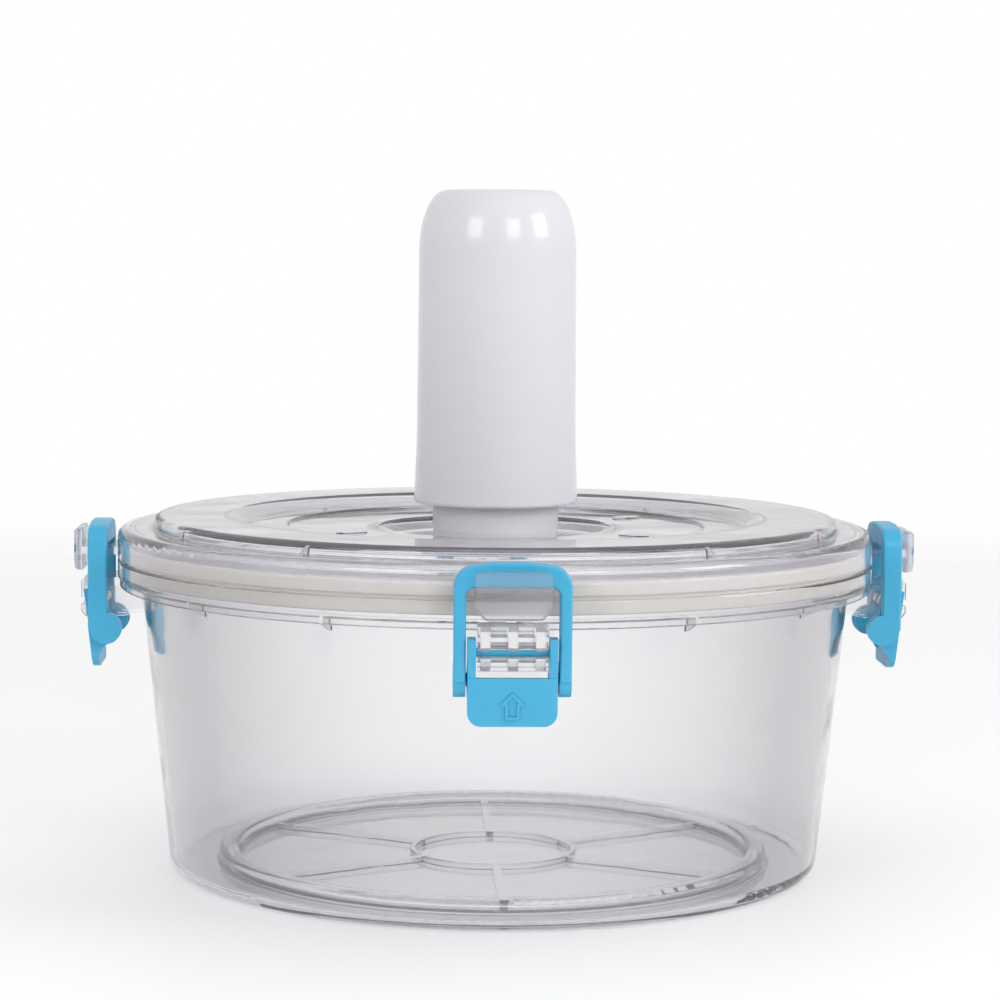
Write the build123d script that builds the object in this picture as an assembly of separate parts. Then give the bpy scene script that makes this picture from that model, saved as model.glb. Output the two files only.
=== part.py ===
from build123d import *
from math import cos, radians, sin
import os

# Round vacuum storage tub for one spool of printing filament. A clear lid with a squeezed seal is held
# down by four over-centre bail latches, and a hand pump stands over the release valve in the lid.
# Millimetres. The origin is the centre of the base on the table, +Z is up, and -Y is the front latch.

os.makedirs("parts", exist_ok=True)

# ---------------------------------------------------------------- tub
wall = 2.4                      # moulded wall thickness of tub and lid
tub_foot_radius = 107.7         # outer wall carried down to the table
tub_draft = 0.1027              # radius gained for each millimetre of height
tub_foot_round = 4.5
tub_top = 102.2
flange_radius = 125.0
flange_bottom = 93.6
flange_ledge = 96.8             # the skirt is a little thinner below this
flange_web_bottom = 95.7        # web between wall and skirt
flange_web_top = 97.8           # floor of the seal channel
flange_rib_angles = (27, 52)    # gussets under the flange, either side of the front and the back
floor_bottom = 0.4              # the floor inside the foot is clear of the table
floor_top = 2.2
floor_ring_inner = 84.8         # raised ring that the spool's side rests on
floor_ring_outer = 91.6
floor_ring_top = 6.6
hub_ring_inner = 25.9           # low ring under the spool's bore
hub_ring_outer = 27.9
floor_rib_top = 4.1             # top of the hub ring and of the radial ribs
floor_rib_count = 6
floor_rib_width = 2.5
fuse_overlap = 0.5              # how far an added feature is sunk into its parent
gusset_width = 1.2
gusset_foot_r = 114.5           # gusset under the flange, from the wall out to the skirt
gusset_foot_z = 89.6
gusset_head_r = 123.6
gusset_head_z = 94.0

# ---------------------------------------------------------------- lid
lid_skirt_bottom = 102.9
lid_flange_top = 112.8
lid_flange_round = 3.0
ridge_outer = 113.2             # raised annulus that carries the lid above when stacked
ridge_inner = 88.7
ridge_top = 116.6
recess_radius = 83.5            # foot of the ridge's inner slope
recess_floor = 113.4
step_radius = 68.6              # shallow step in the recess
step_floor = 112.6
well_rim_radius = 40.0          # the pump stands in this central well
well_floor_radius = 37.5
well_floor = 108.0
valve_hole_radius = 6.0
tongue_inner = 119.3            # ring that presses on the seal
tongue_outer = 121.3
plug_inner = 112.4              # ring that centres the lid in the tub's mouth
plug_outer = 114.4
plug_bottom = 100.6
lid_rib_angles = (32, 62)       # gussets on the ridge wall, either side of the front and the back
lid_rib_width = 1.4
lid_rib_foot_r = 118.8
oval_radius = 55.0              # low oval pads on the lid, round the pump
oval_angles = (-150, -38, 33)
oval_length = 11.0
oval_width = 6.4
oval_height = 0.5

# ---------------------------------------------------------------- seal
seal_inner = 118.7
seal_outer = 122.3
seal_top = 107.6
seal_lip = 0.9                  # height of the bevel on the seal's crown
seal_crown_width = 2.8
seal_waist_bottom = 101.9       # groove outside, level with the gap between tub and lid
seal_waist_top = 103.3
seal_waist_radius = 121.0

# ---------------------------------------------------------------- latches
latch_angles = {"front": -90, "right": 0, "back": 90, "left": 180}
pivot_r = 131.0                 # lever crossbar, clipped into the tub's bracket
pivot_z = 88.15
crossbar_radius = 1.35
bail_pivot_r = 128.0            # pegs of the bail in the lever
bail_pivot_z = 79.8
peg_radius = 2.0
running_clearance = 0.07

bail_width = 34.3
bail_opening = 27.2
bail_inboard = 127.5
bail_outboard = 133.8
bail_top = 114.3                # crown of the arched top bar
bail_shoulder = 112.7           # height of the bar's outer corners
bail_corner = 6.5
bail_underside = 107.1
bail_disc_radius = 5.1

lever_width = 26.2
lever_window = 21.4
lever_top = 92.3
lever_window_bottom = 80.9
lever_tip = 66.6
lever_face_r = 135.5            # outboard face at lever_top
lever_face_lean = 0.1135        # the face leans in towards the tip
lever_plate = 2.2
lever_arm_inboard = 128.4
lever_eye_radius = 4.8
lever_corner = 4.0
arrow_height = 8.2
arrow_width = 7.8
arrow_shaft = 4.3
arrow_line = 0.9
arrow_relief = 0.6
arrow_centre_z = 72.9

hook_width = 22.2               # hook on the lid that the bail's bar pulls down on
hook_foot_width = 17.0
hook_top = 112.0
hook_bottom = 98.2
hook_taper_z = 101.6            # the hook narrows towards its foot below this
hook_inboard = 136.2
hook_outboard = 138.8
shelf_top = 106.2
shelf_bottom = 103.6

bracket_width = 20.6            # bracket on the tub that carries the lever
bracket_top = 96.0
bracket_bottom = 83.2
bracket_outboard = 136.6
bracket_rib_spacing = 8.0
bracket_rib_width = 3.0
bracket_lead = 1.6              # slope of the ribs' corners
bracket_barrel_radius = 3.0
bracket_shelf_bottom = 93.0     # plate across the ribs at the top
bracket_sill = 1.2              # bar across the ribs at the bottom
clip_mouth = 2.2                # the crossbar snaps in through this slot

# ---------------------------------------------------------------- release valve
valve_seat_radius = 8.5
valve_seat_height = 1.0         # flange of the grommet above the lid's well
valve_seat_lip = 0.8            # and below it
valve_seat_grip = 1.5
valve_air_radius = 0.8
valve_air_r = 4.0
valve_bore_radius = 2.0
valve_stem_radius = 1.6
valve_head_radius = 6.4
valve_head_top = 110.3
valve_knob_radius = 2.6
valve_knob_top = 111.0
valve_bulb_radius = 2.9
valve_bulb_bottom = 102.3
valve_bulb_top = 103.4

# ---------------------------------------------------------------- pump
barrel_radius = 20.9
barrel_bore = 18.7
barrel_bottom = 109.0
barrel_floor_bottom = 114.0
barrel_floor_top = 116.4
barrel_top = 194.0
barrel_lip = 1.4                # the foot seal stands this far below the barrel's ledge
inlet_count = 6
inlet_r = 5.0
inlet_radius = 1.5
flap_radius = 7.4
flap_thickness = 0.5
flap_stem_radius = 1.55
flap_knob_radius = 2.3
flap_knob_drop = 1.4
foot_seal_inner = 15.6
foot_seal_outer = 19.6
cap_top = 197.0
cap_plug_bottom = 189.0
cap_bore = 6.0
bush_flange_radius = 8.0
bush_flange_height = 1.2
press_gap = 0.03
bumper_inner = 9.0
bumper_outer = 15.0
bumper_thickness = 1.2
rod_radius = 4.0
rod_bottom = 118.6
rod_top = 217.0
screw_radius = 1.45
screw_hole_radius = 1.5
screw_hole_depth = 12.0
screw_length = 11.0             # in the rod
screw_head_radius = 3.2
screw_head_height = 1.1
screw_seat_radius = 7.5
screw_seat_depth = 1.2
screw_slot_length = 4.4
screw_slot_width = 0.8
screw_slot_depth = 0.5
piston_bottom = 117.2
piston_top = 125.2
piston_radius = 18.3
piston_groove_radius = 16.2
piston_groove_bottom = 119.4
piston_groove_top = 122.8
handle_bottom = 120.5
handle_foot_radius = 27.25
handle_waist_radius = 26.4      # below this height the sleeve flares out to its foot
handle_waist_z = 142.0
handle_waist_round = 300.0
handle_side_radius = 26.0
handle_crown_foot = 204.0       # the side ends and the crown rounds over
handle_top = 223.9
handle_flat_radius = 17.0       # the crown rounds over from here to the side
handle_wall = 2.2
handle_top_wall = 2.5
handle_foot_round = 1.2
handle_guide_radius = 21.2
handle_guide_height = 3.0
handle_boss_radius = 7.5
handle_boss_bottom = 203.0
handle_fin_count = 6
handle_fin_reach = 20.5
handle_fin_height = 8.5
handle_fin_width = 1.6


def turned(*corners):
    """Solid of revolution about +Z. Each corner is radius, height and the radius that rounds it."""
    points = [(r, 0, z) for r, z, _ in corners]
    rounds = [rounding for _, _, rounding in corners]
    return revolve(make_face(FilletPolyline(*points, radius=rounds, close=True)), Axis.Z)


def ring(inner, outer, bottom, top):
    """Plain round tube standing on +Z."""
    return turned((inner, bottom, 0), (outer, bottom, 0), (outer, top, 0), (inner, top, 0))


def block(r_low, r_high, width, z_low, z_high):
    """Box centred on the local X axis, between two radii and two heights."""
    return Pos((r_low + r_high) / 2, 0, (z_low + z_high) / 2) * Box(r_high - r_low, width, z_high - z_low)


def side_plate(corners, centre, width):
    """Plate of a given width, cut to an outline of (radius, height) corners in the local XZ plane."""
    outline = make_face(Polyline(*[(r, centre, z) for r, z in corners], close=True))
    return extrude(outline, width / 2, dir=(0, 1, 0), both=True)


def cross_rod(radius, r, z, y_low, y_high):
    """Round bar along the local Y axis."""
    bar = Cylinder(radius, y_high - y_low, rotation=(90, 0, 0))
    return Pos(r, (y_low + y_high) / 2, z) * bar


def around(piece, angles):
    """Copies of a piece turned about +Z to each angle."""
    return [Rot(0, 0, angle) * piece for angle in angles]


def front_and_back(angles):
    """Directions either side of the front latch and of the back latch."""
    return [middle + side * angle for middle in (-90, 90) for angle in angles for side in (-1, 1)]


def wall_radius(z):
    """Outer radius of the tub's drafted wall."""
    return tub_foot_radius + tub_draft * z


def lever_face(z):
    """Radius of the lever's outboard face at a height."""
    return lever_face_r - lever_face_lean * (lever_top - z)


# ---------------------------------------------------------------- clear mouldings
def make_tub_shell():
    """Floor, drafted wall and the flange with its seal channel."""
    skirt_inner = flange_radius - wall
    return turned(
        (0, floor_bottom, 0),
        (floor_ring_inner + wall, floor_bottom, 0.3),
        (floor_ring_inner + wall, floor_ring_top - wall, 0),
        (floor_ring_outer - wall, floor_ring_top - wall, 0),
        (floor_ring_outer - wall, 0, 0.5),
        (tub_foot_radius, 0, tub_foot_round),
        (wall_radius(flange_web_bottom), flange_web_bottom, 0.8),
        (skirt_inner, flange_web_bottom, 0.4),
        (skirt_inner, flange_bottom, 0.4),
        (flange_radius - 0.6, flange_bottom, 0.5),
        (flange_radius - 0.6, flange_ledge, 0),
        (flange_radius, flange_ledge, 0.2),
        (flange_radius, tub_top, 0.6),
        (skirt_inner, tub_top, 0.4),
        (skirt_inner, flange_web_top, 0),
        (wall_radius(flange_web_top) + 0.3, flange_web_top, 0),
        (wall_radius(flange_web_top) + 0.3, tub_top, 0.5),
        (wall_radius(tub_top) - wall, tub_top, 0.5),
        (wall_radius(floor_top) - wall, floor_top, 3.0),
        (floor_ring_outer, floor_top, 1.0),
        (floor_ring_outer, floor_ring_top, 1.6),
        (floor_ring_inner, floor_ring_top, 1.6),
        (floor_ring_inner, floor_top, 0.8),
        (0, floor_top, 0),
    )


def make_floor_ribs():
    """Thin radial ribs from the hub ring to the raised ring."""
    rib = block(hub_ring_outer - fuse_overlap, floor_ring_inner + fuse_overlap, floor_rib_width,
                floor_top - fuse_overlap, floor_rib_top)
    step = 360 / floor_rib_count
    return around(rib, [step / 2 + step * number for number in range(floor_rib_count)])


def make_flange_rib():
    """Gusset between the flange's skirt and the wall."""
    root = flange_web_bottom + fuse_overlap
    return side_plate([(gusset_foot_r, gusset_foot_z), (gusset_head_r, gusset_head_z),
                       (gusset_head_r, root), (gusset_foot_r + 1.0, root)], 0, gusset_width)


def make_bracket():
    """Bracket with a snap-in bearing for the lever's crossbar."""
    inboard = wall_radius(bracket_bottom) - 0.8
    outboard = bracket_outboard - bracket_sill
    rib_outline = [(inboard, bracket_bottom + bracket_lead), (flange_radius - 2.5, bracket_bottom),
                   (outboard, bracket_bottom), (bracket_outboard, bracket_bottom + bracket_lead),
                   (bracket_outboard, bracket_top - bracket_sill), (outboard, bracket_top),
                   (inboard + bracket_lead, bracket_top)]
    pieces = [side_plate(rib_outline, number * bracket_rib_spacing, bracket_rib_width)
              for number in (-1, 0, 1)]
    pieces.append(block(flange_radius - 1.5, outboard, bracket_width, bracket_shelf_bottom, bracket_top))
    pieces.append(block(outboard - bracket_lead, outboard, bracket_width,
                        bracket_bottom, bracket_bottom + bracket_sill))
    pieces.append(cross_rod(bracket_barrel_radius, pivot_r, pivot_z, -bracket_width / 2, bracket_width / 2))
    bracket = pieces[0].fuse(*pieces[1:])
    bore = crossbar_radius + running_clearance
    bracket -= cross_rod(bore, pivot_r, pivot_z, -bracket_width, bracket_width)
    return bracket - block(pivot_r, bracket_outboard + 1, 2 * bracket_width,
                           pivot_z - clip_mouth / 2, pivot_z + clip_mouth / 2)


def make_tub():
    """The clear tub with its hub ring, floor ribs, gussets and latch brackets."""
    root = floor_top - fuse_overlap
    hub = turned((hub_ring_inner, root, 0), (hub_ring_outer, root, 0),
                 (hub_ring_outer, floor_rib_top, 0.5), (hub_ring_inner, floor_rib_top, 0.5))
    details = [hub]
    details += make_floor_ribs()
    details += around(make_flange_rib(), front_and_back(flange_rib_angles))
    details += around(make_bracket(), latch_angles.values())
    return make_tub_shell().fuse(*details)


def make_lid_shell():
    """The stepped lid, its skirt and the two rings beneath it."""
    skirt_inner = flange_radius - wall
    web_bottom = lid_flange_top - wall
    return turned(
        (valve_hole_radius, well_floor - wall, 0),
        (well_rim_radius - 0.3, well_floor - wall, 1.5),
        (well_rim_radius + 2.3, step_floor - wall, 1.0),
        (step_radius + 0.5, step_floor - wall, 0),
        (step_radius + 1.3, recess_floor - wall, 0),
        (recess_radius + 1.7, recess_floor - wall, 1.5),
        (ridge_inner + 1.4, ridge_top - wall, 1.0),
        (ridge_outer - wall, ridge_top - wall, 0.6),
        (ridge_outer - wall + 0.4, web_bottom, 0),
        (plug_inner, plug_bottom, 0.5),
        (plug_outer - 0.3, plug_bottom, 0.8),
        (plug_outer, web_bottom, 0.3),
        (tongue_inner, web_bottom, 0.3),
        (tongue_inner, seal_top, 0.4),
        (tongue_outer, seal_top, 0.4),
        (tongue_outer, web_bottom, 0),
        (skirt_inner, web_bottom, 0),
        (skirt_inner, lid_skirt_bottom, 0.4),
        (flange_radius, lid_skirt_bottom, 0.5),
        (flange_radius, lid_flange_top, lid_flange_round),
        (ridge_outer + 0.5, lid_flange_top, 0.6),
        (ridge_outer, ridge_top, 2.4),
        (ridge_inner, ridge_top, 1.6),
        (recess_radius, recess_floor, 1.6),
        (step_radius + 0.8, recess_floor, 0.4),
        (step_radius, step_floor, 0),
        (well_rim_radius, step_floor, 1.2),
        (well_floor_radius, well_floor, 1.2),
        (valve_hole_radius, well_floor, 0),
    )


def make_hook():
    """Upturned hook that the bail's bar drops behind."""
    half = hook_width / 2
    foot_half = hook_foot_width / 2
    lip_outline = [(-half, hook_top), (half, hook_top), (half, hook_taper_z),
                   (foot_half, hook_bottom), (-foot_half, hook_bottom), (-half, hook_taper_z)]
    outline = FilletPolyline(*[(hook_inboard, y, z) for y, z in lip_outline],
                             radius=[1.5, 1.5, 1.0, 1.5, 1.5, 1.0], close=True)
    lip = extrude(make_face(outline), hook_outboard - hook_inboard, dir=(1, 0, 0))
    lip = chamfer(lip.faces().sort_by(Axis.X)[-1].edges(), 0.7)
    shelf = block(flange_radius - 1.2, hook_inboard + fuse_overlap, hook_width, shelf_bottom, shelf_top)
    return lip.fuse(shelf)


def make_lid_rib():
    """Gusset on the outer wall of the ridge."""
    root = ridge_outer - 1.2
    top = ridge_top - 1.2
    foot = lid_flange_top - fuse_overlap
    outline = [(root, top), (ridge_outer, top), (lid_rib_foot_r, foot), (root, foot)]
    return side_plate(outline, 0, lid_rib_width)


def make_lid():
    """The clear lid with its hooks, gussets and oval pads."""
    pad_face = Pos(oval_radius, 0, step_floor - fuse_overlap) * Ellipse(oval_length / 2, oval_width / 2)
    pad = extrude(pad_face, fuse_overlap + oval_height)
    details = around(make_hook(), latch_angles.values())
    details += around(make_lid_rib(), front_and_back(lid_rib_angles))
    details += around(pad, oval_angles)
    return make_lid_shell().fuse(*details)


def make_seal():
    """Silicone ring that stands in the tub's channel and is squeezed by the lid's tongue."""
    middle = (seal_inner + seal_outer) / 2
    return turned(
        (seal_inner, flange_web_top, 0.3), (seal_outer, flange_web_top, 0.3),
        (seal_outer, seal_waist_bottom, 0.3), (seal_waist_radius, seal_waist_bottom, 0.2),
        (seal_waist_radius, seal_waist_top, 0.2), (seal_outer, seal_waist_top, 0.3),
        (seal_outer, seal_top - seal_lip, 0.3), (middle + seal_crown_width / 2, seal_top, 0.4),
        (middle - seal_crown_width / 2, seal_top, 0.4), (seal_inner, seal_top - seal_lip, 0.3),
    )


# ---------------------------------------------------------------- latch pieces
def make_bail():
    """Rectangular loop with an arched bar above and a disc with an inward peg at each foot."""
    half = bail_width / 2
    outer = FilletPolyline(
        (bail_inboard, -half, bail_pivot_z), (bail_inboard, half, bail_pivot_z),
        (bail_inboard, half, bail_shoulder), (bail_inboard, half / 3, bail_top),
        (bail_inboard, -half / 3, bail_top), (bail_inboard, -half, bail_shoulder),
        radius=[0, 0, bail_corner, 20, 20, bail_corner], close=True)
    opening_half = bail_opening / 2
    opening = FilletPolyline(
        (bail_inboard, -opening_half, bail_pivot_z - 10), (bail_inboard, opening_half, bail_pivot_z - 10),
        (bail_inboard, opening_half, bail_underside), (bail_inboard, -opening_half, bail_underside),
        radius=[0, 0, 2.5, 2.5], close=True)
    depth = bail_outboard - bail_inboard
    frame = extrude(make_face(outer), depth, dir=(1, 0, 0))
    frame -= extrude(make_face(opening), depth, dir=(1, 0, 0))
    edges = frame.edges().filter_by(lambda edge: edge.bounding_box().size.X < 0.01)
    frame = fillet(edges.filter_by(lambda edge: edge.center().Z > bail_pivot_z + 1), 0.8)
    for side in (-1, 1):
        inner, outer_end = sorted((side * opening_half, side * half))
        frame += cross_rod(bail_disc_radius, bail_pivot_r, bail_pivot_z, inner, outer_end)
        peg_ends = sorted((side * (lever_window / 2 + 0.1), side * (opening_half + 0.5)))
        frame += cross_rod(peg_radius, bail_pivot_r, bail_pivot_z, *peg_ends)
    return frame


def make_arrow():
    """Raised outline of an upward arrow on the lever's face."""
    head = arrow_height * 0.48
    half = arrow_height / 2
    face_r = lever_face(arrow_centre_z) - 1.0
    outline = [(0, half), (arrow_width / 2, half - head), (arrow_shaft / 2, half - head),
               (arrow_shaft / 2, -half), (-arrow_shaft / 2, -half), (-arrow_shaft / 2, half - head),
               (-arrow_width / 2, half - head)]
    flat = make_face(Polyline(*outline, close=True))
    flat -= offset(flat, -arrow_line)
    plane = Plane(origin=(face_r, 0, arrow_centre_z), x_dir=(0, 1, 0), z_dir=(1, 0, -lever_face_lean))
    return extrude(plane * flat, 1.0 + arrow_relief)


def make_lever():
    """Lever with two arms, a crossbar to turn on, eyes for the bail's pegs and a thumb plate."""
    face_low = lever_face(lever_tip)
    arm_outline = [(lever_arm_inboard, lever_top), (lever_face_r, lever_top), (face_low, lever_tip + 4),
                   (face_low - lever_plate, lever_tip + 4), (bail_pivot_r, bail_pivot_z - lever_eye_radius),
                   (bail_pivot_r - lever_eye_radius, bail_pivot_z),
                   (lever_arm_inboard - 1.2, bail_pivot_z + lever_eye_radius)]
    arm_width = (lever_width - lever_window) / 2
    arm_centre = lever_window / 2 + arm_width / 2
    half = lever_width / 2
    face_high = lever_face(lever_window_bottom)
    plate = side_plate([(face_high, lever_window_bottom), (face_low, lever_tip),
                        (face_low - lever_plate, lever_tip), (face_high - lever_plate, lever_window_bottom)],
                       0, lever_width)
    pieces = [cross_rod(crossbar_radius, pivot_r, pivot_z, -half + 0.5, half - 0.5)]
    for side in (-1, 1):
        arm = side_plate(arm_outline, side * arm_centre, arm_width)
        ends = sorted((side * lever_window / 2, side * half))
        arm += cross_rod(lever_eye_radius, bail_pivot_r, bail_pivot_z, *ends)
        pieces.append(arm)
    lever = plate.fuse(*pieces)
    lever -= cross_rod(peg_radius + running_clearance, bail_pivot_r, bail_pivot_z, -half - 1, half + 1)
    corners = lever.edges().filter_by(Axis.X, tolerance=30).filter_by(
        lambda edge: edge.center().Z < lever_tip + 0.5 and edge.length < 2 * lever_plate)
    lever = fillet(corners, lever_corner)
    return lever.fuse(make_arrow())


# ---------------------------------------------------------------- release valve
def make_valve_seat():
    """Silicone grommet in the lid's hole, with air holes round the plug's stem."""
    hole = valve_hole_radius - 0.05
    lip = hole + valve_seat_grip
    under = well_floor - wall
    top = well_floor + valve_seat_height
    seat = turned(
        (valve_bore_radius, under - valve_seat_lip, 0), (lip, under - valve_seat_lip, 0.3),
        (lip, under, 0), (hole, under, 0), (hole, well_floor, 0), (valve_seat_radius, well_floor, 0),
        (valve_seat_radius, top, 0.4), (valve_bore_radius, top, 0),
    )
    air_hole = Pos(valve_air_r, 0, well_floor) * Cylinder(valve_air_radius, 10)
    return seat.cut(*around(air_hole, (0, 90, 180, 270)))


def make_valve_plug():
    """Silicone poppet: knob, sealing head, stem and the bulb that keeps it in the seat."""
    seat_top = well_floor + valve_seat_height
    return turned(
        (0, valve_bulb_bottom, 0), (valve_bulb_radius - 0.6, valve_bulb_bottom, 0.4),
        (valve_bulb_radius, valve_bulb_top, 0.3), (valve_stem_radius, valve_bulb_top, 0),
        (valve_stem_radius, seat_top, 0), (valve_head_radius, seat_top, 0.3),
        (valve_head_radius - 0.6, valve_head_top, 0.4), (valve_knob_radius, valve_head_top, 0.2),
        (valve_knob_radius, valve_knob_top, 0.3), (0, valve_knob_top, 0),
    )


# ---------------------------------------------------------------- pump
def make_handle():
    """White sleeve, closed and rounded at the top, with a guide lip below and a boss for the rod."""
    crown_rise = handle_top - handle_crown_foot
    crown_reach = handle_side_radius - handle_flat_radius
    centre = (handle_flat_radius, handle_crown_foot)
    lip_top = handle_bottom + handle_guide_height
    inner_top = handle_top - handle_top_wall
    outer_crown = EllipticalCenterArc(centre, crown_reach, crown_rise, arc_size=90)
    inner_crown = EllipticalCenterArc(centre, crown_reach - handle_wall, crown_rise - handle_top_wall,
                                      arc_size=90)
    outer_side = FilletPolyline((handle_foot_radius, handle_bottom), (handle_waist_radius, handle_waist_z),
                                (handle_side_radius, handle_crown_foot), radius=handle_waist_round)
    sleeve_outline = make_face([
        outer_side, outer_crown,
        Polyline((handle_flat_radius, handle_top), (0, handle_top), (0, inner_top),
                 (handle_flat_radius, inner_top)),
        inner_crown,
        Polyline((handle_side_radius - handle_wall, handle_crown_foot),
                 (handle_foot_radius - handle_wall, lip_top), (handle_guide_radius, lip_top),
                 (handle_guide_radius, handle_bottom), (handle_foot_radius, handle_bottom)),
    ])
    sleeve = revolve(Plane.XZ * sleeve_outline, Axis.Z)
    foot_edges = sleeve.edges().filter_by(lambda edge: edge.bounding_box().max.Z < handle_bottom + 0.01)
    sleeve = fillet(foot_edges.sort_by(Edge.length)[-1], handle_foot_round)
    from_below = (Align.CENTER, Align.CENTER, Align.MIN)
    boss_height = inner_top + fuse_overlap - handle_boss_bottom
    boss = Pos(0, 0, handle_boss_bottom) * Cylinder(handle_boss_radius, boss_height, align=from_below)
    socket_depth = rod_top - handle_boss_bottom
    socket = Pos(0, 0, handle_boss_bottom) * Cylinder(rod_radius, socket_depth, align=from_below)
    fin = block(handle_boss_radius - 1.0, handle_fin_reach, handle_fin_width,
                inner_top - handle_fin_height, inner_top + fuse_overlap)
    fins = around(fin, [360 / handle_fin_count * number for number in range(handle_fin_count)])
    return sleeve.fuse(boss, *fins) - socket


def make_barrel():
    """Grey pump barrel with an inlet floor and a skirt that holds the foot seal."""
    ledge = barrel_bottom + barrel_lip
    barrel = turned(
        (0, barrel_floor_bottom, 0), (foot_seal_inner - 1.2, barrel_floor_bottom, 0),
        (foot_seal_inner - 1.2, ledge, 0), (barrel_radius - 2.6, ledge, 0),
        (barrel_radius - 1.0, barrel_bottom, 0.4), (barrel_radius - 0.5, barrel_bottom, 0.2),
        (barrel_radius, barrel_bottom + 3.0, 0.8), (barrel_radius, barrel_top, 0),
        (barrel_bore, barrel_top, 0.3), (barrel_bore, barrel_floor_top, 0), (0, barrel_floor_top, 0),
    )
    inlet = Pos(inlet_r, 0, barrel_floor_bottom) * Cylinder(inlet_radius, 10)
    stem_hole = Pos(0, 0, barrel_floor_bottom) * Cylinder(flap_stem_radius + 0.05, 10)
    inlets = around(inlet, [360 / inlet_count * number for number in range(inlet_count)])
    return barrel.cut(stem_hole, *inlets)


def make_foot_seal():
    """Rubber ring under the barrel that seals on the lid's well."""
    ledge = barrel_bottom + barrel_lip
    return turned(
        (foot_seal_inner, well_floor, 0.3), (foot_seal_outer - 2.0, well_floor, 0.3),
        (barrel_radius - 2.8, ledge, 0), (foot_seal_inner - 1.0, ledge, 0),
    )


def make_inlet_flap():
    """Rubber umbrella valve over the barrel's inlet holes."""
    knob_bottom = barrel_floor_bottom - flap_knob_drop
    rim_top = barrel_floor_top + flap_thickness
    return turned(
        (0, knob_bottom, 0), (flap_knob_radius, knob_bottom, 0.3),
        (flap_knob_radius, barrel_floor_bottom, 0), (flap_stem_radius, barrel_floor_bottom, 0),
        (flap_stem_radius, barrel_floor_top, 0), (flap_radius, barrel_floor_top, 0),
        (flap_radius, rim_top, 0.2), (0, rim_top + 0.1, 0),
    )


def make_barrel_cap():
    """Cap pressed into the barrel's top, bored for the rod bush."""
    plug = barrel_bore - press_gap
    rim = barrel_radius - 0.2
    return turned(
        (cap_bore, cap_plug_bottom, 0), (plug, cap_plug_bottom, 0.3), (plug, barrel_top, 0),
        (rim, barrel_top, 0), (rim, cap_top, 0.8), (cap_bore, cap_top, 0),
    )


def make_rod_bush():
    """Flanged slide bush for the rod."""
    bore = rod_radius + running_clearance
    sleeve = cap_bore - press_gap
    flange_top = cap_top + bush_flange_height
    return turned(
        (bore, cap_plug_bottom, 0), (sleeve, cap_plug_bottom, 0), (sleeve, cap_top, 0),
        (bush_flange_radius, cap_top, 0), (bush_flange_radius, flange_top, 0.3), (bore, flange_top, 0.3),
    )


def make_stroke_bumper():
    """Soft washer under the cap that the piston meets at the end of its stroke."""
    return ring(bumper_inner, bumper_outer, cap_plug_bottom - bumper_thickness, cap_plug_bottom)


def make_rod():
    """Plain rod from the piston to the handle's boss, with a screw hole in its foot."""
    rod = turned((0, rod_bottom, 0), (rod_radius, rod_bottom, 0.4),
                 (rod_radius, rod_top, 0.5), (0, rod_top, 0))
    return rod - Pos(0, 0, rod_bottom) * Cylinder(screw_hole_radius, 2 * screw_hole_depth)


def make_piston_head():
    """Piston with a groove for the cup seal, a socket for the rod and a countersunk screw seat."""
    piston = turned(
        (0, piston_bottom, 0), (piston_radius, piston_bottom, 0.4),
        (piston_radius, piston_groove_bottom, 0), (piston_groove_radius, piston_groove_bottom, 0),
        (piston_groove_radius, piston_groove_top, 0), (piston_radius, piston_groove_top, 0),
        (piston_radius, piston_top, 0.4), (0, piston_top, 0),
    )
    from_below = (Align.CENTER, Align.CENTER, Align.MIN)
    piston -= Pos(0, 0, rod_bottom) * Cylinder(rod_radius, 10, align=from_below)
    piston -= Pos(0, 0, piston_bottom) * Cylinder(screw_seat_radius, 2 * screw_seat_depth)
    return piston - Pos(0, 0, piston_bottom) * Cylinder(screw_hole_radius, 10)


def make_piston_seal():
    """Cup ring in the piston's groove."""
    inner = piston_groove_radius + press_gap
    lip = barrel_bore - 0.06
    return turned(
        (inner, piston_groove_bottom, 0), (piston_radius - 0.4, piston_groove_bottom, 0),
        (lip, piston_groove_bottom + 1.2, 0.3), (lip, piston_groove_top - 0.6, 0.3),
        (piston_radius - 0.2, piston_groove_top, 0), (inner, piston_groove_top, 0),
    )


def make_piston_screw():
    """Screw up through the piston into the rod, its head in the piston's seat."""
    seat = piston_bottom + screw_seat_depth
    head_bottom = seat - screw_head_height
    tip = rod_bottom + screw_length
    screw = turned((0, head_bottom, 0), (screw_head_radius, head_bottom, 0.3), (screw_head_radius, seat, 0),
                   (screw_radius, seat, 0), (screw_radius, tip, 0.4), (0, tip, 0))
    slot = Pos(0, 0, head_bottom) * Box(screw_slot_length, screw_slot_width, 2 * screw_slot_depth)
    return screw - slot - Rot(0, 0, 90) * slot


def make_all():
    """Every piece of the assembly, by node name."""
    nodes = {
        "tub": make_tub(),
        "lid": make_lid(),
        "lid_seal": make_seal(),
        "valve_seat": make_valve_seat(),
        "valve_plug": make_valve_plug(),
        "pump_handle": make_handle(),
        "pump_barrel": make_barrel(),
        "pump_foot_seal": make_foot_seal(),
        "inlet_flap": make_inlet_flap(),
        "barrel_cap": make_barrel_cap(),
        "rod_bush": make_rod_bush(),
        "stroke_bumper": make_stroke_bumper(),
        "piston_rod": make_rod(),
        "piston_head": make_piston_head(),
        "piston_seal": make_piston_seal(),
        "piston_screw": make_piston_screw(),
    }
    bail = make_bail()
    lever = make_lever()
    for side, angle in latch_angles.items():
        nodes[f"latch_bail_{side}"] = Rot(0, 0, angle) * bail
        nodes[f"latch_lever_{side}"] = Rot(0, 0, angle) * lever
    return nodes


for name, piece in make_all().items():
    export_step(piece, f"parts/{name}.step")
    print(name, round(piece.volume / 1000, 2), "cm3")
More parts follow.
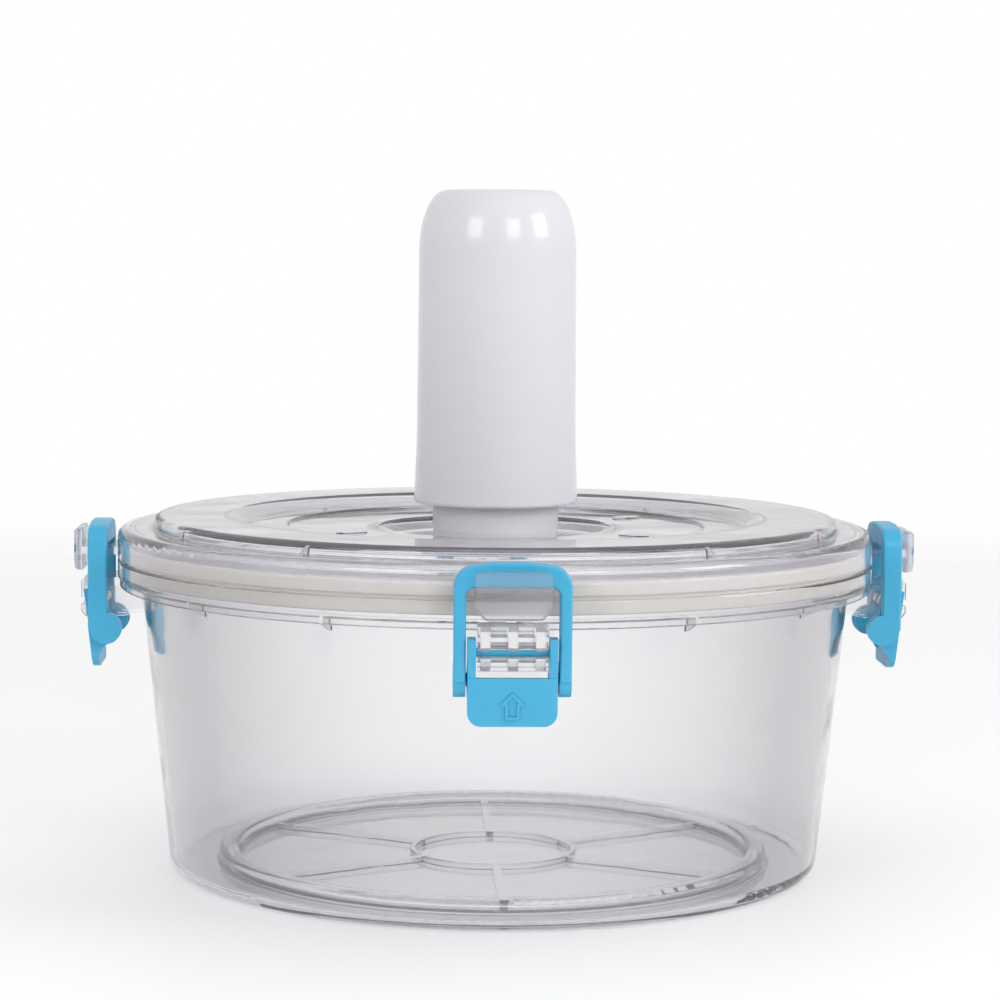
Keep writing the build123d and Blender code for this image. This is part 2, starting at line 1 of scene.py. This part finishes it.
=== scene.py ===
import bpy
from math import pi, radians
from mathutils import Euler, Matrix, Vector

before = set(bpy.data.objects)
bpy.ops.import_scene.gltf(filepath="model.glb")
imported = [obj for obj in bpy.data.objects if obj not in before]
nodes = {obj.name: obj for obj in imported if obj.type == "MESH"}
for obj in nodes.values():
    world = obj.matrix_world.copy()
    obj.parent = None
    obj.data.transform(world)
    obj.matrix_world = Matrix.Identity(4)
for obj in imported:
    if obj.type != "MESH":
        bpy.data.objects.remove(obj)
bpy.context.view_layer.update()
SIDES = ("front", "right", "back", "left")


# ---------------------------------------------------------------- camera
# A long lens just above the lid's height, a little to the left of the front latch.
CAMERA_DISTANCE = 0.9616
CAMERA_HEIGHT = 0.2033
CAMERA_AZIMUTH = radians(-2.3)
CAMERA_YAW = radians(-0.086)
CAMERA_PITCH = radians(4.88)
CAMERA_ROLL = radians(0.476)
SENSOR = 36.0
LENS = 104.2


def make_camera():
    """The scene's camera, at the photograph's viewing angle."""
    data = bpy.data.cameras.new("camera")
    data.sensor_width = SENSOR
    data.lens = LENS
    data.clip_start = 0.01
    data.clip_end = 50.0
    camera = bpy.data.objects.new("camera", data)
    bpy.context.scene.collection.objects.link(camera)
    round_object = Matrix.Rotation(CAMERA_AZIMUTH, 4, "Z")
    place = Matrix.Translation((0, -CAMERA_DISTANCE, CAMERA_HEIGHT))
    turn = Matrix.Rotation(CAMERA_YAW, 4, "Z") @ Matrix.Rotation(pi / 2 - CAMERA_PITCH, 4, "X")
    camera.matrix_world = round_object @ place @ turn @ Matrix.Rotation(CAMERA_ROLL, 4, "Z")
    bpy.context.scene.camera = camera


# ---------------------------------------------------------------- shader helpers
class Shader:
    """A small builder for one material's node tree."""

    def __init__(self, name):
        self.material = bpy.data.materials.new(name)
        self.material.use_nodes = True
        self.tree = self.material.node_tree
        self.tree.nodes.clear()
        self.output = self.add("ShaderNodeOutputMaterial")
        self.surface = self.add("ShaderNodeBsdfPrincipled")
        self.link(self.surface, "BSDF", self.output, "Surface")
        self.place = self.add("ShaderNodeNewGeometry")

    def add(self, kind, **settings):
        """A new node, with its settings and with plain values on its sockets."""
        node = self.tree.nodes.new(kind)
        for key, value in settings.items():
            if hasattr(node, key):
                setattr(node, key, value)
            else:
                node.inputs[key.replace("_", " ")].default_value = value
        return node

    def link(self, source, output, target, entry):
        """Joins an output of one node to an input of another."""
        self.tree.links.new(source.outputs[output], target.inputs[entry])

    def set(self, **values):
        """Plain values on the Principled shader's own sockets."""
        for key, value in values.items():
            self.surface.inputs[key.replace("_", " ")].default_value = value

    def noise(self, scale, detail=2.0, roughness=0.5, stretch=None):
        """Noise in object space, optionally stretched along the axes."""
        node = self.add("ShaderNodeTexNoise", Scale=scale, Detail=detail, Roughness=roughness)
        if stretch is None:
            self.link(self.place, "Position", node, "Vector")
        else:
            mapping = self.add("ShaderNodeMapping")
            mapping.inputs["Scale"].default_value = stretch
            self.link(self.place, "Position", mapping, "Vector")
            self.link(mapping, "Vector", node, "Vector")
        return node

    def radius(self):
        """Distance from the object's axis."""
        flat = self.add("ShaderNodeVectorMath", operation="MULTIPLY")
        self.link(self.place, "Position", flat, 0)
        flat.inputs[1].default_value = (1.0, 1.0, 0.0)
        length = self.add("ShaderNodeVectorMath", operation="LENGTH")
        self.link(flat, "Vector", length, 0)
        return length

    def ranged(self, source, output, low, high, to_low, to_high):
        """A value mapped from one range to another, clamped."""
        node = self.add("ShaderNodeMapRange")
        node.inputs["From Min"].default_value = low
        node.inputs["From Max"].default_value = high
        node.inputs["To Min"].default_value = to_low
        node.inputs["To Max"].default_value = to_high
        self.link(source, output, node, "Value")
        return node

    def blend_colours(self, source, output, low, high):
        """Base colour that runs between two colours with a value from 0 to 1."""
        mix = self.add("ShaderNodeMix", data_type="RGBA")
        mix.inputs["A"].default_value = (*low, 1)
        mix.inputs["B"].default_value = (*high, 1)
        self.link(source, output, mix, "Factor")
        self.link(mix, "Result", self.surface, "Base Color")

    def bump(self, layers):
        """Bump from several heights. Each layer is a node, its output, a depth in metres and a strength."""
        previous = None
        for node, output, depth, strength in layers:
            bump = self.add("ShaderNodeBump", Strength=strength, Distance=depth)
            self.link(node, output, bump, "Height")
            if previous is not None:
                self.link(previous, "Normal", bump, "Normal")
            previous = bump
        self.link(previous, "Normal", self.surface, "Normal")

    def let_lamps_through(self):
        """Shadow rays pass as through a thin clear wall, so that lamps light what is inside."""
        path = self.add("ShaderNodeLightPath")
        clear = self.add("ShaderNodeBsdfTransparent")
        clear.inputs["Color"].default_value = (0.955, 0.955, 0.96, 1)
        mix = self.add("ShaderNodeMixShader")
        self.link(path, "Is Shadow Ray", mix, "Fac")
        self.link(self.surface, "BSDF", mix, 1)
        self.link(clear, "BSDF", mix, 2)
        self.link(mix, "Shader", self.output, "Surface")


# ---------------------------------------------------------------- materials
TEXTURED_RADIUS = 0.1345        # the lid's hooks, beyond this, have a fine matt texture
TEXTURED_EDGE = 0.0004
TEXTURED_ROUGHNESS = 0.22
SATIN_SPREAD = 0.06


def clear_plastic(name, face_on, edge_shade_tint, haze, clearness, cast, density):
    """Water-clear moulding: slight flow marks, faint haze, hair scratches, a violet cast in its depth, and
    painted grey shade where its surface turns edge-on to the view.
    """
    shader = Shader(name)
    shader.set(IOR=1.49, Transmission_Weight=clearness)
    # Painted shade: the clear plastic's tint turns grey where its surface turns edge-on to the view, standing
    # in for darker surroundings seen through its grazing edges.
    slope = shader.add("ShaderNodeLayerWeight", Blend=0.5)
    edge_shade_amount = shader.ranged(slope, "Facing", 0.0, 0.5, 0.0, 1.0)
    shader.blend_colours(edge_shade_amount, "Result", face_on, edge_shade_tint)
    smudges = shader.noise(26.0, 4.0, 0.6)
    rough = shader.ranged(smudges, "Fac", 0.42, 0.72, haze * 0.35, haze)
    radius = shader.radius()
    texture = shader.ranged(radius, "Value", TEXTURED_RADIUS, TEXTURED_RADIUS + TEXTURED_EDGE,
                            0.0, TEXTURED_ROUGHNESS)
    roughest = shader.add("ShaderNodeMath", operation="MAXIMUM")
    shader.link(rough, "Result", roughest, 0)
    shader.link(texture, "Result", roughest, 1)
    shader.link(roughest, "Value", shader.surface, "Roughness")
    flow = shader.noise(42.0, 1.0, 0.4, (1.0, 1.0, 2.2))
    scratches = shader.noise(900.0, 2.0, 0.5, (1.0, 0.06, 0.35))
    hairs = shader.ranged(scratches, "Fac", 0.66, 0.74, 0.0, 1.0)
    shader.bump([(flow, "Fac", 0.0012, 0.10), (hairs, "Result", 0.00002, 0.25)])
    shader.let_lamps_through()
    depth = shader.add("ShaderNodeVolumeAbsorption", Color=(*cast, 1), Density=density)
    shader.link(depth, "Volume", shader.output, "Volume")
    return shader.material


def latch_plastic():
    """Satin sky-blue moulding with a fine spark grain and slightly polished patches."""
    shader = Shader("latch_blue")
    cloud = shader.noise(55.0, 3.0, 0.55)
    shader.blend_colours(cloud, "Fac", (0.034, 0.35, 0.575), (0.056, 0.414, 0.648))
    wear = shader.noise(130.0, 4.0, 0.6)
    rough = shader.ranged(wear, "Fac", 0.3, 0.7, 0.30, 0.46)
    shader.link(rough, "Result", shader.surface, "Roughness")
    grain = shader.noise(3200.0, 2.0, 0.5)
    shader.bump([(grain, "Fac", 0.00003, 0.35)])
    shader.set(Subsurface_Weight=0.12, Subsurface_Radius=(0.3, 0.6, 1.0), Subsurface_Scale=0.001,
               IOR=1.5, Coat_Weight=0.08, Coat_Roughness=0.25)
    return shader.material


def handle_plastic():
    """Glossy cool white moulding with a faint orange peel and handling marks."""
    shader = Shader("handle_white")
    cloud = shader.noise(18.0, 3.0, 0.5)
    shader.blend_colours(cloud, "Fac", (0.635, 0.622, 0.665), (0.672, 0.66, 0.70))
    marks = shader.noise(60.0, 5.0, 0.65)
    rough = shader.ranged(marks, "Fac", 0.35, 0.75, 0.16, 0.26)
    shader.link(rough, "Result", shader.surface, "Roughness")
    peel = shader.noise(240.0, 2.0, 0.4)
    hairs = shader.ranged(shader.noise(1500.0, 1.0, 0.4, (1.0, 1.0, 0.05)), "Fac", 0.68, 0.76, 0.0, 1.0)
    shader.bump([(peel, "Fac", 0.00006, 0.12), (hairs, "Result", 0.000012, 0.2)])
    shader.set(IOR=1.5, Coat_Weight=0.35, Coat_Roughness=0.08, Subsurface_Weight=0.1,
               Subsurface_Radius=(1.0, 0.9, 0.9), Subsurface_Scale=0.002)
    return shader.material


def satin_plastic(name, low, high, roughness):
    """Plain satin moulding with a fine texture."""
    shader = Shader(name)
    cloud = shader.noise(70.0, 3.0, 0.5)
    shader.blend_colours(cloud, "Fac", low, high)
    rough = shader.ranged(cloud, "Fac", 0.3, 0.7, roughness - SATIN_SPREAD, roughness + SATIN_SPREAD)
    shader.link(rough, "Result", shader.surface, "Roughness")
    grain = shader.noise(2600.0, 2.0, 0.5)
    turning = shader.noise(900.0, 1.0, 0.4, (0.02, 0.02, 1.0))
    shader.bump([(grain, "Fac", 0.00002, 0.3), (turning, "Fac", 0.00001, 0.15)])
    return shader.material


def silicone(name, low, high, clearness):
    """Milky translucent silicone with a matte, slightly dusty skin."""
    shader = Shader(name)
    cloud = shader.noise(90.0, 4.0, 0.6)
    shader.blend_colours(cloud, "Fac", low, high)
    rough = shader.ranged(cloud, "Fac", 0.3, 0.7, 0.42, 0.62)
    shader.link(rough, "Result", shader.surface, "Roughness")
    grain = shader.noise(1800.0, 3.0, 0.6)
    shader.bump([(grain, "Fac", 0.00003, 0.4)])
    shader.set(IOR=1.41, Transmission_Weight=clearness, Subsurface_Weight=0.4,
               Subsurface_Radius=(1.0, 0.8, 0.6), Subsurface_Scale=0.003)
    return shader.material


def black_rubber():
    """Matte black rubber with bloom."""
    shader = Shader("black_rubber")
    bloom = shader.noise(140.0, 5.0, 0.65)
    shader.blend_colours(bloom, "Fac", (0.018, 0.018, 0.02), (0.05, 0.05, 0.054))
    rough = shader.ranged(bloom, "Fac", 0.3, 0.7, 0.55, 0.75)
    shader.link(rough, "Result", shader.surface, "Roughness")
    grain = shader.noise(2400.0, 3.0, 0.6)
    shader.bump([(grain, "Fac", 0.00004, 0.5)])
    return shader.material


def bright_steel():
    """Drawn steel with fine lines along its length."""
    shader = Shader("bright_steel")
    lines = shader.noise(2200.0, 3.0, 0.6, (1.0, 1.0, 0.03))
    shader.blend_colours(lines, "Fac", (0.50, 0.50, 0.52), (0.66, 0.66, 0.68))
    rough = shader.ranged(lines, "Fac", 0.3, 0.7, 0.16, 0.34)
    shader.link(rough, "Result", shader.surface, "Roughness")
    shader.bump([(lines, "Fac", 0.00001, 0.3)])
    shader.set(Metallic=1.0)
    return shader.material


def dress_nodes():
    """Every CAD node gets its finish."""
    # The second colour of each clear plastic is painted grey shade for its edge-on walls; the first is its
    # face-on tint.
    clear_tub = clear_plastic("clear_tub", face_on=(0.995, 0.995, 1.0), edge_shade_tint=(0.68, 0.675, 0.69),
                              haze=0.05, clearness=0.96, cast=(0.70, 0.67, 0.84), density=5.5)
    clear_lid = clear_plastic("clear_lid", face_on=(0.985, 0.985, 0.99), edge_shade_tint=(0.80, 0.795, 0.81),
                              haze=0.09, clearness=0.94, cast=(0.60, 0.54, 0.84), density=14.0)
    blue = latch_plastic()
    inner = satin_plastic("inner_white", (0.62, 0.62, 0.62), (0.72, 0.72, 0.71), roughness=0.42)
    grey = satin_plastic("barrel_grey", (0.58, 0.565, 0.595), (0.67, 0.655, 0.685), roughness=0.36)
    rubber = black_rubber()
    steel = bright_steel()
    beige = silicone("seal_silicone", (0.86, 0.825, 0.775), (0.90, 0.865, 0.815), clearness=0.2)
    milky = silicone("valve_silicone", (0.80, 0.79, 0.76), (0.87, 0.86, 0.83), clearness=0.35)
    finishes = {
        "tub": (clear_tub, "clear_tub"),
        "lid": (clear_lid, "clear_lid"),
        "lid_seal": (beige, "seal"),
        "valve_seat": (milky, "valve"),
        "valve_plug": (milky, "valve"),
        "pump_handle": (handle_plastic(), "handle"),
        "pump_barrel": (grey, "barrel"),
        "pump_foot_seal": (rubber, "dark_rubber"),
        "inlet_flap": (rubber, "dark_rubber"),
        "barrel_cap": (inner, "inner"),
        "rod_bush": (inner, "inner"),
        "stroke_bumper": (rubber, "dark_rubber"),
        "piston_rod": (steel, "steel"),
        "piston_head": (inner, "inner"),
        "piston_seal": (rubber, "dark_rubber"),
        "piston_screw": (steel, "steel"),
    }
    for side in SIDES:
        finishes[f"latch_bail_{side}"] = (blue, "latch")
        finishes[f"latch_lever_{side}"] = (blue, "latch")
    for name, (material, slot) in finishes.items():
        mesh = nodes[name].data
        mesh.materials.clear()
        mesh.materials.append(material)


# ---------------------------------------------------------------- floor and light
FLOOR_HALF = 1.6
FLOOR_FADE_START = 0.35         # the floor fades into the white of the room between these radii
FLOOR_FADE_END = 1.3
FLOOR_GAP = 0.0002
LAMP_AIM_HEIGHT = 0.17
LAMP_ELEVATION = 22
LAMP_DISTANCE = 1.7


def make_floor():
    """A plain pale floor under the base, which fades out into the room."""
    mesh = bpy.data.meshes.new("floor")
    corners = [(-1, -1), (1, -1), (1, 1), (-1, 1)]
    mesh.from_pydata([(x * FLOOR_HALF, y * FLOOR_HALF, -FLOOR_GAP) for x, y in corners], [], [(0, 1, 2, 3)])
    floor = bpy.data.objects.new("floor", mesh)
    bpy.context.scene.collection.objects.link(floor)
    shader = Shader("floor_pale")
    cloud = shader.noise(3.0, 3.0, 0.5)
    shader.blend_colours(cloud, "Fac", (0.925, 0.925, 0.93), (0.945, 0.945, 0.95))
    shader.set(Roughness=0.6)
    fade = shader.ranged(shader.radius(), "Value", FLOOR_FADE_START, FLOOR_FADE_END, 0.0, 1.0)
    fade.interpolation_type = "SMOOTHSTEP"
    clear = shader.add("ShaderNodeBsdfTransparent")
    mix = shader.add("ShaderNodeMixShader")
    shader.link(fade, "Result", mix, "Fac")
    shader.link(shader.surface, "BSDF", mix, 1)
    shader.link(clear, "BSDF", mix, 2)
    shader.link(mix, "Shader", shader.output, "Surface")
    mesh.materials.append(shader.material)


def make_softbox(name, azimuth, size, power):
    """A square area light aimed at the pump. The azimuth is from the front latch, positive to the right."""
    data = bpy.data.lights.new(name, "AREA")
    data.shape = "SQUARE"
    data.size = size
    data.energy = power
    light = bpy.data.objects.new(name, data)
    bpy.context.scene.collection.objects.link(light)
    aim = Vector((0, 0, LAMP_AIM_HEIGHT))
    away = Vector((0, -LAMP_DISTANCE, 0))
    away.rotate(Euler((-radians(LAMP_ELEVATION), 0, radians(azimuth))))
    light.location = aim + away
    light.rotation_mode = "QUATERNION"
    light.rotation_quaternion = (-away).to_track_quat("-Z", "Y")
    light.visible_transmission = False      # no stray glints thrown through the clear plastic


def make_world():
    """A pale room. Its backdrop is white, and what glossy surfaces mirror is dimmer on the viewer's side."""
    world = bpy.data.worlds.new("studio")
    bpy.context.scene.world = world
    world.use_nodes = True
    tree = world.node_tree
    tree.nodes.clear()
    output = tree.nodes.new("ShaderNodeOutputWorld")
    path = tree.nodes.new("ShaderNodeLightPath")
    direction = tree.nodes.new("ShaderNodeTexCoord")
    parts = tree.nodes.new("ShaderNodeSeparateXYZ")
    tree.links.new(direction.outputs["Generated"], parts.inputs["Vector"])

    def backdrop(axis, stops):
        """Background whose brightness runs through some stops from -1 to 1 along an axis."""
        shift = tree.nodes.new("ShaderNodeMapRange")
        shift.inputs["From Min"].default_value = -1.0
        shift.inputs["From Max"].default_value = 1.0
        tree.links.new(parts.outputs[axis], shift.inputs["Value"])
        ramp = tree.nodes.new("ShaderNodeValToRGB")
        elements = ramp.color_ramp.elements
        for element, (position, grey) in zip(elements, (stops[0], stops[-1])):
            element.position = position
            element.color = (grey, grey, grey, 1)
        for position, grey in stops[1:-1]:
            elements.new(position).color = (grey, grey, grey, 1)
        tree.links.new(shift.outputs["Result"], ramp.inputs["Fac"])
        background = tree.nodes.new("ShaderNodeBackground")
        tree.links.new(ramp.outputs["Color"], background.inputs["Color"])
        return background

    refracted = backdrop("Y", ((0.0, 0.58), (0.5, 0.72), (0.8, 0.93), (1.0, 0.97)))
    scattered = backdrop("X", ((0.0, 0.79), (1.0, 1.12)))
    seen = backdrop("X", ((0.0, 1.0), (1.0, 1.0)))
    shader = backdrop("Y", ((0.0, 0.30), (0.55, 0.50), (1.0, 0.90)))
    for ray, background in (("Is Transmission Ray", refracted),
                            ("Is Diffuse Ray", scattered),
                            ("Is Camera Ray", seen)):
        mix = tree.nodes.new("ShaderNodeMixShader")
        tree.links.new(path.outputs[ray], mix.inputs["Fac"])
        tree.links.new(shader.outputs[0], mix.inputs[1])
        tree.links.new(background.outputs[0], mix.inputs[2])
        shader = mix
    tree.links.new(shader.outputs[0], output.inputs["Surface"])


def make_studio():
    """Three soft square lamps on the viewer's side, in a pale room."""
    make_world()
    make_floor()
    make_softbox("key_left", azimuth=-36.3, size=0.6, power=4.1)
    make_softbox("key_middle", azimuth=21.7, size=0.55, power=4.0)
    make_softbox("key_right", azimuth=66.7, size=0.6, power=6.5)
    view = bpy.context.scene.view_settings
    view.view_transform = "Standard"
    view.look = "None"


make_camera()
dress_nodes()
make_studio()
